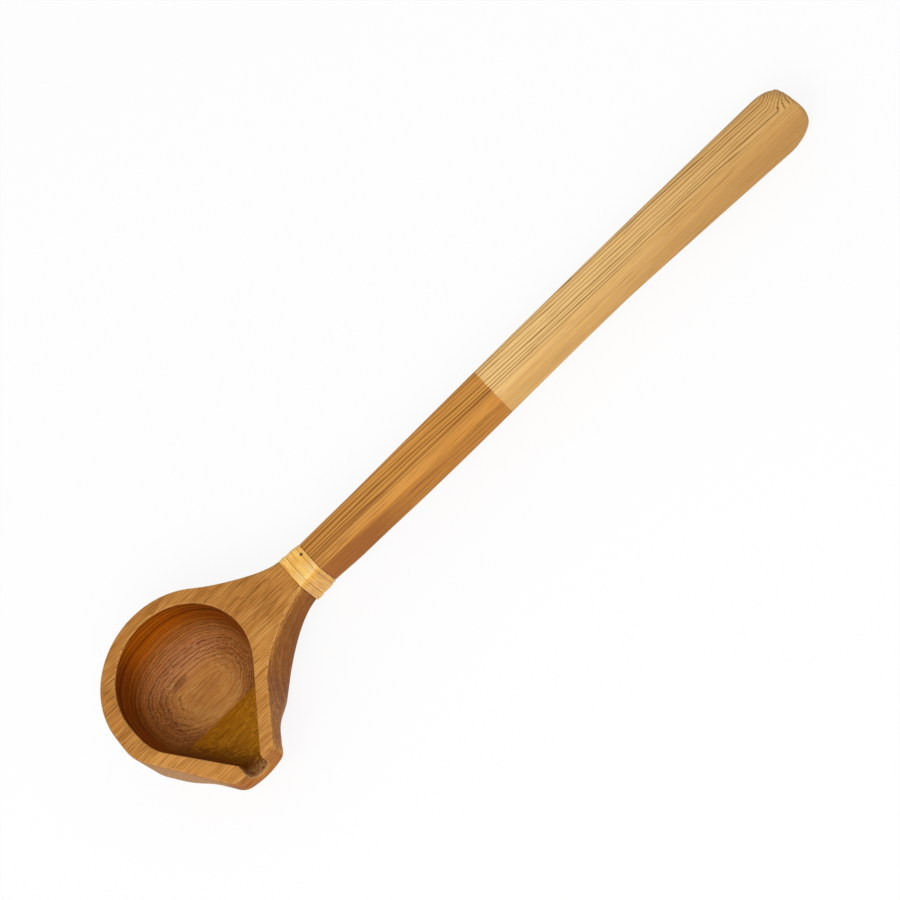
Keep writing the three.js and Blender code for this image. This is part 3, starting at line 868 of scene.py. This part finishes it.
def head_material():
    head = Finish("oiled_head_wood")
    mark_head_parts(head)
    grow_head_wood(head)
    wood = rim_colour(head)
    wood = wood.coated(head.floor, floor_colour(head))
    wood = wood.coated(head.flank, flank_colour(head))
    # painted highlight along the rounded arrises, where they catch the light
    wood = wood.coated(head.arris * 0.4, arris_painted_highlight)
    wood = wood.coated(head.wall, wall_colour(head))
    wood = wood.coated(head.ramp, ramp_ochre)
    for draw in (draw_rings, draw_strokes, draw_smear, shade_and_wear_mouth):
        wood = draw(head, wood)
    wood = wood.darkened(head.fibre * 0.5 + 0.75)
    # end grain, where the surface faces along the fibres, drinks more oil
    end_grain = abs(head.facing_x).between(0.3, 0.95) * head.outside
    wood = wood.toned(end_grain, end_grain_tone)
    head.shader.inputs["Specular IOR Level"].default_value = wood_gloss
    relief = head.fibre + head.late * 0.5 - head.strokes * 0.6
    return head.dress(wood, head.fibre * 0.25 + 0.36, relief, head_relief_depth)


bowl_head.data.materials.clear()
bowl_head.data.materials.append(head_material())
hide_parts("bowl_head")
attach(bowl_head, "root")

# Handle
# One straight stick of pale softwood with rounded arrises, swelling towards the grip. The half at the binding
# is oiled dark up to a line straight across, and the grip is left bare. The dowel is glued into its start.

handle_start_half = 8.2
handle_wide_x = 327.0
handle_back_depth = 24.9
handle_back_x = (100.0, 120.0)  # the stick keeps that depth between these places
handle_waist_x = 270.0
handle_waist_depth = 19.1
grip_half = 11.4
grip_edge_radius = 4.0
grip_corner_radii = (3.0, 2.5)  # on the +Y and the -Y side
grip_top_radius = 2.0
grip_under_rise = 20.0
grip_swell = 1.2
grip_slant = 0.07  # the end is cut this much off square
grip_roll_start = (378.2, 4.6)  # the top's +Y corner rolls off past a line through here
grip_roll_heading = (0.79, 0.61)
grip_roll_radius = 9.5
grip_roll_limit = 0.97  # share of its radius that the roll may reach
grip_roll_depth = 20.0  # the roll fades out at this depth below the top
section_limit = 0.48  # a corner's radius is at most this share of the section's depth
side_steps = 12  # along each side of a section
handle_steps = 200
handle_end_steps = 50


def end_rounding(x, length, height):
    """How far an edge has turned in at x, where it rounds off to the handle's end over a length."""
    into = np.clip((x - (handle_end_x - length)) / length, 0, 1)
    return height * (1 - math.sqrt(1 - into * into))


def shape_end(ring):
    """The end's slanting cut and its rolled-off top corner."""
    x, y, z = ring.T
    ahead = np.clip((x - grip_rest_x) / grip_under_length, 0, 1) ** 2
    x = x - grip_slant * y * ahead
    heading = np.array(grip_roll_heading) / math.hypot(*grip_roll_heading)
    past = (np.column_stack([x, y]) - grip_roll_start) @ heading
    past = np.clip(past, 0, grip_roll_limit * grip_roll_radius)
    drop = grip_roll_radius - np.sqrt(grip_roll_radius ** 2 - past ** 2)
    return np.column_stack([x, y, z - drop * np.clip(1 + z / grip_roll_depth, 0, 1)])


def handle_section(x):
    slimness = 1 - np.clip((x - binding_end) / (handle_wide_x - binding_end), 0, 1)
    half = mix(grip_half, handle_start_half, slimness ** 2)
    left, right = (half - end_rounding(x, radius, radius) for radius in grip_corner_radii)
    back = mix(neck_depth, handle_back_depth, ease(x, binding_end, handle_back_x[0]))
    waisted = mix(back, handle_waist_depth, ease(x, handle_back_x[1], handle_waist_x))
    swell = np.clip((x - handle_waist_x) / (grip_rest_x - handle_waist_x), 0, 1) ** grip_swell
    top = -end_rounding(x, grip_top_radius, grip_top_radius)
    bottom = -mix(waisted, grip_depth, swell) + end_rounding(x, grip_under_length, grip_under_rise)
    radius = mix(neck_edge_radius, grip_edge_radius, ease(x, binding_end, handle_back_x[1]))
    radius = min(radius, section_limit * (top - bottom))
    ring, _ = rounded_section(left, -right, top, bottom, radius, run=side_steps)
    return shape_end(np.column_stack([np.full(len(ring), x), ring]))


def seat_section(x, strip):
    """Section of the stick where it lies under a strip of the binding."""
    half = strip["half"] - seat_drop
    top = binding_proud - seat_drop
    radius = binding_corner_radius - seat_drop
    ring, _ = rounded_section(half, -half, top, -neck_depth - top, radius, run=side_steps)
    return np.column_stack([np.full(len(ring), x), ring])


def handle_skin():
    start = joint_x + gap / 2
    seat_end = binding_end + gap
    middle_end = strips["middle"]["start"] + strips["middle"]["width"]
    straight = np.linspace(seat_end, grip_rest_x, handle_steps)[:-1]
    rounded = grip_rest_x + grip_under_length * np.sin(quarter(handle_end_steps))
    stations = np.concatenate([straight, rounded])
    stick = [handle_section(x) for x in stations]
    turns = np.arctan2(stick[0][:, 2] - dowel_z, stick[0][:, 1])
    bore = np.column_stack([np.full(len(turns), start), bore_radius * np.cos(turns),
                            bore_radius * np.sin(turns) + dowel_z])
    bore_end = joint_x + dowel_length / 2 + gap
    seats = [seat_section(start, strips["middle"]), seat_section(middle_end, strips["middle"]),
             seat_section(middle_end + seat_step, strips["upper"]), seat_section(seat_end, strips["upper"])]
    rings = [bore + (bore_end - start, 0, 0), bore, *seats, *stick]
    return skin(rings, (bore_end, 0, dowel_z), rings[-1].mean(0))


handle = add_piece("stick_handle", *handle_skin())
smooth_faces(handle, sharp_from=38)


stick_ring_width = 0.82
bend_x = 376.5
oil_line_x = 195.0
oil_line_half = 0.4


def grow_stick(stick):
    """Year rings that lean across the stick and bend at its end, with close stripes on the top alone."""
    stick.x, stick.y, stick.z = stick.place.parts()
    _, stick.facing_y, stick.facing_z = stick.facing().parts()
    stick.past_binding = stick.x - 80.0
    lean = stick.y * 0.45 + stick.z * 0.3
    drift = stick.past_binding * 0.004 + stick.past_binding * stick.past_binding * 0.00002
    bend_lead = (0.5 - stick.y).at_least(0.0) * 0.7
    past_bend = (stick.x - bend_lead - bend_x).at_least(0.0)
    bend = past_bend * past_bend * -0.34 / (past_bend + 3.0)
    broad = stick.noise(0.006, 0.16, rough=0.6, shift=2.0).swing(1.1)
    stick.crinkle = stick.noise(0.03, 0.5).swing(0.14)
    ring = (lean + drift + bend + broad + stick.crinkle) / stick_ring_width
    late = growth_rings(ring, 0.5, first_year=31.0)
    thin_late = growth_rings(ring * 2.63, 0.3, first_year=57.0)

    past_edge = stick.y + 6.4 - stick.past_binding * 0.006 + stick.noise(0.01, 0.3).swing(0.5)
    back_arris = stick.facing_y.between(0.45, 0.8) * (1 - stick.x.between(365.0, 378.0))
    stick.striped = past_edge.between(-0.6, 0.6) * stick.facing_z.between(-0.2, 0.3) * (1 - back_arris)
    stick.line = late.at_least(thin_late * 0.3) * (stick.striped * 0.88 + 0.12)
    stick.fibre = stick.noise(0.03, 1.9, detail=4, rough=0.65, shift=5.0)
    stick.streak = stick.noise(0.006, 0.16, detail=3, rough=0.55, shift=11.0)
    stick.ragged = stick.noise(0.02, 1.0, detail=3, rough=0.6, shift=19.0)
    stick.side_streak = stick.ragged.between(0.5, 0.62) * (1 - stick.striped)


def bare_colour(stick):
    """The bare grip: pale wood, browner towards its end and on the spout's side, with dark stripes and
    painted shade.
    """
    pale, pale_end = colour(252, 208, 138), colour(230, 182, 113)
    side, side_end = colour(240, 190, 116), colour(214, 162, 94)
    plain_band_painted_shade = colour(240, 236, 228)
    side_arris_painted_shade = colour(240, 241, 246)
    streak_brown = colour(220, 164, 94)
    side_brown = colour(188, 132, 70)
    late_wood = colour(112, 72, 28)
    to_end = stick.x.between(190.0, 385.0)
    to_side = -stick.facing_y
    on_side = to_side.between(0.3, 0.9)
    wood = to_end.blend(pale, pale_end).coated(on_side, to_end.blend(side, side_end))
    # painted shade: the plain band beside the stripes and the side's arris are dimmed where they catch the
    # light
    plain = (1 - stick.striped) * (1 - on_side) * stick.x.between(205.0, 320.0)
    wood = wood.toned(plain, plain_band_painted_shade)
    side_arris = to_side.between(0.2, 0.5) * (1 - to_side.between(0.7, 0.97))
    wood = wood.toned(side_arris, side_arris_painted_shade)
    wood = wood.coated(stick.streak.between(0.4, 0.7) * 0.4, streak_brown)
    wood = wood.coated(stick.side_streak * 0.35, side_brown)
    return wood.coated(stick.line, late_wood)


def oiled_colour(stick):
    """The oiled half: redder low on the sides by the binding, with a broad dark stripe along the top."""
    pale, brown = colour(224, 160, 80), colour(206, 139, 64)
    by_binding = colour(188, 126, 62)
    low = colour(206, 134, 46)
    low_by_binding = colour(168, 96, 32)
    oiled_arris_painted_highlight = colour(240, 172, 80)
    side_brown = colour(124, 66, 20)
    late_wood = colour(104, 58, 18)
    stripe_brown = colour(132, 70, 30)
    wood = stick.streak.between(0.3, 0.7).blend(pale, brown)
    wood = wood.coated((1 - stick.x.between(75.0, 135.0)) * 0.5, by_binding)
    below = -stick.z
    wood = wood.coated(below.between(1.5, 5.0) * 0.7, low)
    near_binding = 1 - (stick.x + stick.ragged.swing(24.0)).between(108.0, 136.0)
    sinking = (below + stick.ragged.swing(4.0)).between(0.0, 6.0)
    wood = wood.coated(sinking * near_binding * 0.8, low_by_binding)
    # painted highlight: a faint bright band along the oiled stick's arrises
    arris = stick.facing_z.between(0.15, 0.5) * (1 - stick.facing_z.between(0.9, 0.985))
    wood = wood.coated(arris * 0.12, oiled_arris_painted_highlight)
    wood = wood.coated(stick.side_streak * 0.55, side_brown)
    wood = wood.coated(stick.line, late_wood)
    from_stripe = abs(stick.y + 2.6 + stick.past_binding * 0.009 + stick.crinkle * 2.0)
    stripe = (1 - from_stripe.between(0.2, 1.4)) * stick.striped * stick.fibre.between(0.3, 0.6)
    return wood.coated(stripe * 0.7, stripe_brown)


stroke_brown = colour(128, 80, 36)
handle_relief_depth = 0.05


def handle_material():
    stick = Finish("half_oiled_stick_wood")
    grow_stick(stick)
    # the oil stops at a line straight across the stick, with a slight bleed along the fibres
    bled = stick.x + stick.fibre.swing(1.2)
    is_bare = bled.between(oil_line_x - oil_line_half, oil_line_x + oil_line_half)
    wood = is_bare.blend(oiled_colour(stick), bare_colour(stick))
    strokes = stick.noise(0.06, 1.6, detail=1, shift=9.0).between(0.58, 0.68)
    wood = wood.coated(strokes * 0.24, stroke_brown)
    wood = wood.darkened(stick.fibre * 0.36 + 0.82)
    stick.shader.inputs["Specular IOR Level"].default_value = wood_gloss
    relief = stick.fibre + stick.line * 0.8
    return stick.dress(wood, is_bare * 0.16 + 0.42, relief, handle_relief_depth)


handle.data.materials.append(handle_material())
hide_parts("handle")
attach(handle, "root")

# Dowel
# A turned hardwood peg inside the joint, glued half into the neck and half into the handle. It has chamfered
# ends and shallow flutes that let the glue out.

flute_count = 16
flute_depth = 0.35
flute_sharpness = 4
flute_points = 6  # round the peg, for each flute
dowel_chamfer = 1.2


def dowel_skin():
    turns = np.linspace(0, 2 * math.pi, flute_count * flute_points, endpoint=False)
    fluted = dowel_radius - flute_depth * (0.5 + 0.5 * np.cos(flute_count * turns)) ** flute_sharpness
    start = joint_x - dowel_length / 2
    end = start + dowel_length
    chamfered = [(start, dowel_chamfer), (start + dowel_chamfer, 0)]
    chamfered += [(end - dowel_chamfer, 0), (end, dowel_chamfer)]
    rings = []
    for x, smaller in chamfered:
        y = (fluted - smaller) * np.cos(turns)
        z = (fluted - smaller) * np.sin(turns) + dowel_z
        rings.append(np.column_stack([np.full(len(turns), x), y, z]))
    return skin(rings, (start, 0, dowel_z), (end, 0, dowel_z))


dowel = add_piece("fluted_dowel", *dowel_skin())
smooth_faces(dowel, sharp_from=30)

peg_pale = colour(226, 190, 140)
peg_brown = colour(186, 142, 94)
fleck_brown = colour(150, 104, 66)
dowel_relief_depth = 0.04


def dowel_material():
    peg = Finish("turned_peg_wood")
    fibre = peg.noise(0.05, 1.6, detail=4, rough=0.6)
    flecks = peg.noise(0.4, 3.0, detail=1, shift=2.0).between(0.64, 0.72)
    wood = fibre.blend(peg_pale, peg_brown).coated(flecks * 0.5, fleck_brown)
    return peg.dress(wood, fibre * 0.2 + 0.55, fibre, dowel_relief_depth)


dowel.data.materials.append(dowel_material())
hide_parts("dowel")
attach(dowel, "root")

# Binding
# Three strips of split cane laid round the joint, side by side, drawn tight into their seats. The lower one
# is ribbed along its length, the middle one is broad and smooth, and the upper one is a narrow pair of ribs.

strip_grooves = {"lower": (0.3, 0.68), "middle": (0.88,), "upper": (0.5,)}
groove_depth = 0.22
groove_half = 0.3
strip_points = 61  # across a strip's outer face
strip_crown = {"lower": 0.15, "middle": 0.2, "upper": 0.12}
cane_edge = 0.22
cane_overhang = 0.1  # the strips swell a little over their seats' edges


def strip_profile(place):
    """Section of one strip, for wrap: flat below, grooved and crowned above."""
    strip = strips[place]
    start = strip["start"] - cane_overhang
    width = strip["width"] + 2 * cane_overhang
    shares = np.linspace(1, 0, strip_points)
    edge = np.clip(1 - np.minimum(shares, 1 - shares) * width / cane_edge, 0, 1)
    height = strip_crown[place] * np.sin(math.pi * shares) - cane_edge * (1 - np.sqrt(1 - edge ** 2))
    for groove in strip_grooves[place]:
        away = np.abs(shares - groove) * width / groove_half
        height -= groove_depth * np.clip(1 - away ** 2, 0, 1)
    top = [(strip, start + s * width, h) for s, h in zip(shares, height)]
    return [(strip, start, -cane_thickness), (strip, start + width, -cane_thickness)] + top


cane_pale = colour(248, 198, 96)
cane_brown = colour(228, 160, 56)
cane_fibre = colour(176, 106, 30)
cane_thread = colour(255, 228, 150)
cane_side_painted_shade = colour(255, 241, 174)
cane_painted_highlight = colour(255, 236, 178)
cane_relief_depth = 0.06


def cane_material(name, shift):
    """Split cane: fine fibres and pale threads run round the binding, with a painted highlight by one bend
    and painted shade on one side.
    """
    cane = Finish(name)
    _, y, _ = cane.place.parts()
    _, facing_y, _ = cane.facing().parts()
    fibre = cane.noise(3.0, 0.07, detail=3, rough=0.6, shift=shift)
    satin = cane.noise(0.9, 0.12, shift=shift)
    thread = cane.noise(6.0, 0.05, shift=shift + 4.0)
    tone = satin.between(0.3, 0.7).blend(cane_pale, cane_brown)
    tone = tone.coated(fibre.between(0.54, 0.7) * 0.78, cane_fibre)
    tone = tone.coated(thread.between(0.54, 0.66) * 0.6, cane_thread)
    on_side = (-facing_y).between(0.3, 0.9)
    # painted shade: the side that faces the spout is toned yellower and darker, against the white light it
    # reflects
    tone = tone.toned(on_side, cane_side_painted_shade)
    # painted highlight: a cream patch on the top by one bend, where the light glints
    painted_highlight_by_bend = (1 - y.between(-7.0, 1.0)) * (1 - on_side) * satin.between(0.35, 0.65)
    tone = tone.coated(painted_highlight_by_bend * 0.5, cane_painted_highlight)
    return cane.dress(tone, fibre * 0.2 + 0.16, 1 - fibre, cane_relief_depth)


strip_shift = 13.0  # moves the fibres on from strip to strip

for number, place in enumerate(strips):
    cane = add_piece(f"cane_{place}", *wrap(strip_profile(place)))
    smooth_faces(cane, sharp_from=50)
    cane.data.materials.append(cane_material(f"split_cane_{place}", strip_shift * number))
    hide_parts(f"binding_{place}_strip")
    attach(cane, "root")

# Pin
# A small dark steel brad with a domed head, driven through the seam of the binding into the handle to hold
# the cane's end.

pin_head_radius = 0.7
pin_head_height = 0.45
pin_head_sink = 0.1  # the head sits this far below the cane's face
pin_head_rim = 0.2
pin_shank_radius = 0.4
pin_length = 6.0
pin_point_length = 1.0
pin_point_share = 0.2  # of the shank's radius, at the point's blunt end
pin_point_cap = 0.1
pin_x = strips["upper"]["start"] - gap / 2
pin_y = 2.8
pin_points = 32
dome_steps = 8


def pin_skin():
    turns = np.linspace(0, 2 * math.pi, pin_points, endpoint=False)
    top = binding_proud + gap + pin_head_height
    tip = binding_proud + gap - pin_length
    under_head = binding_proud - pin_head_sink
    dome = [(pin_head_radius * math.cos(t), mix(under_head + pin_head_rim, top, math.sin(t)))
            for t in quarter(dome_steps)[:-1]]
    profile = [(pin_shank_radius * pin_point_share, tip), (pin_shank_radius, tip + pin_point_length),
               (pin_shank_radius, under_head), (pin_head_radius, under_head), *dome]
    rings = [np.column_stack([pin_x + r * np.cos(turns), pin_y + r * np.sin(turns), np.full(len(turns), z)])
             for r, z in profile]
    return skin(rings, (pin_x, pin_y, tip - pin_point_cap), (pin_x, pin_y, top))


pin = add_piece("brad", *pin_skin())
smooth_faces(pin, sharp_from=40)

steel_dark = colour(34, 28, 24)
steel_worn = colour(78, 62, 50)
pin_relief_depth = 0.03


def pin_material():
    brad = Finish("dark_brad_steel")
    patina = brad.noise(1.6, 1.6, detail=3, rough=0.6)
    brad.shader.inputs["Metallic"].default_value = 0.5
    return brad.dress(patina.blend(steel_dark, steel_worn), patina * 0.3 + 0.35, patina, pin_relief_depth)


pin.data.materials.append(pin_material())
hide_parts("binding_pin")
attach(pin, "root")

# Floor, light and camera
# A plain white floor that keeps a soft shadow, one large soft light overhead with an even white surround, and
# the camera well above the ladle, with the handle running up to the right.

floor_half = 6.0
floor_drop = 0.0001
floor_z = cad_box[0][2] - floor_drop
floor_corners = [(x * floor_half, y * floor_half, floor_z) for x, y in ((-1, -1), (1, -1), (1, 1), (-1, 1))]
floor_mesh = bpy.data.meshes.new("floor")
floor_mesh.from_pydata(floor_corners, [], [(0, 1, 2, 3)])
floor = bpy.data.objects.new("floor", floor_mesh)
bpy.context.scene.collection.objects.link(floor)

lit_grey = (0.7, 0.7, 0.7, 1)  # what the floor throws back at the ladle
seen_grey = (0.97, 0.97, 0.97, 1)
plain_white = (1, 1, 1, 1)
floor_white_share = 0.88  # of the floor as it is seen, so that only a faint shadow is left
surround_strength = 0.62


def seen_directly(tree):
    """1 where the camera sees a surface, straight on, by reflection or through glass."""
    path = new_node(tree, "ShaderNodeLightPath", {}).outputs
    camera_ray, glossy_ray, transmission_ray = (
        Shade(tree, path[f"Is {kind} Ray"]) for kind in ("Camera", "Glossy", "Transmission"))
    return camera_ray.at_least(glossy_ray).at_least(transmission_ray)


def floor_material():
    material = bpy.data.materials.new("white_floor")
    material.use_nodes = True
    tree = material.node_tree
    tree.nodes.clear()
    seen = seen_directly(tree)
    paint = shade(tree, "ShaderNodeBsdfDiffuse", {"Color": seen.blend(lit_grey, seen_grey)})
    white = shade(tree, "ShaderNodeEmission", {"Color": plain_white, "Strength": 1.0})
    shown = shade(tree, "ShaderNodeMixShader", {0: seen * floor_white_share, 1: paint, 2: white})
    new_node(tree, "ShaderNodeOutputMaterial", {0: shown})
    return material


floor_mesh.materials.append(floor_material())

world = bpy.data.worlds.new("studio")
bpy.context.scene.world = world
world.use_nodes = True
surround = world.node_tree.nodes["Background"]
surround.inputs["Color"].default_value = plain_white
seen = seen_directly(world.node_tree)
put(surround.inputs["Strength"], seen * (1.0 - surround_strength) + surround_strength)

light_target = Vector((0.15, 0.0, 0.02))
light_side = Vector((-0.3, -0.5, 0.81))
light_distance = 1.6
light_size = 1.0
light_power = 12.0

lamp = bpy.data.lights.new("key", "AREA")
lamp.shape = "DISK"
lamp.size = light_size
lamp.energy = light_power
light = bpy.data.objects.new("key", lamp)
light.location = light_target + light_distance * light_side
light.rotation_euler = (light_target - light.location).to_track_quat("-Z", "Y").to_euler()
bpy.context.scene.collection.objects.link(light)

view_target = Vector((162.0, -11.46, 0.0))
view_back = Vector((0.035, -0.48456, 1.0)).normalized()
view_distance = 2000.0
view_roll = 0.76716
focal_pixels = 4323.8
image_pixels = 900
sensor_width = 36.0

forward = -view_back
along = (Vector((1, 0, 0)) - forward * forward.x).normalized()
across = forward.cross(along)
right = math.cos(view_roll) * along + math.sin(view_roll) * across
down = -math.sin(view_roll) * along + math.cos(view_roll) * across
turn = rest_tilt.to_3x3() @ Matrix((right, -down, view_back)).transposed()
lens = bpy.data.cameras.new("camera")
lens.sensor_width = sensor_width
lens.lens = focal_pixels / image_pixels * sensor_width
lens.clip_end = 100.0
camera = bpy.data.objects.new("camera", lens)
view_place = rest_place @ (view_target + view_back * view_distance)
camera.matrix_world = Matrix.Translation(view_place) @ turn.to_4x4()
bpy.context.scene.collection.objects.link(camera)
bpy.context.scene.camera = camera

bpy.context.scene.view_settings.view_transform = "Standard"
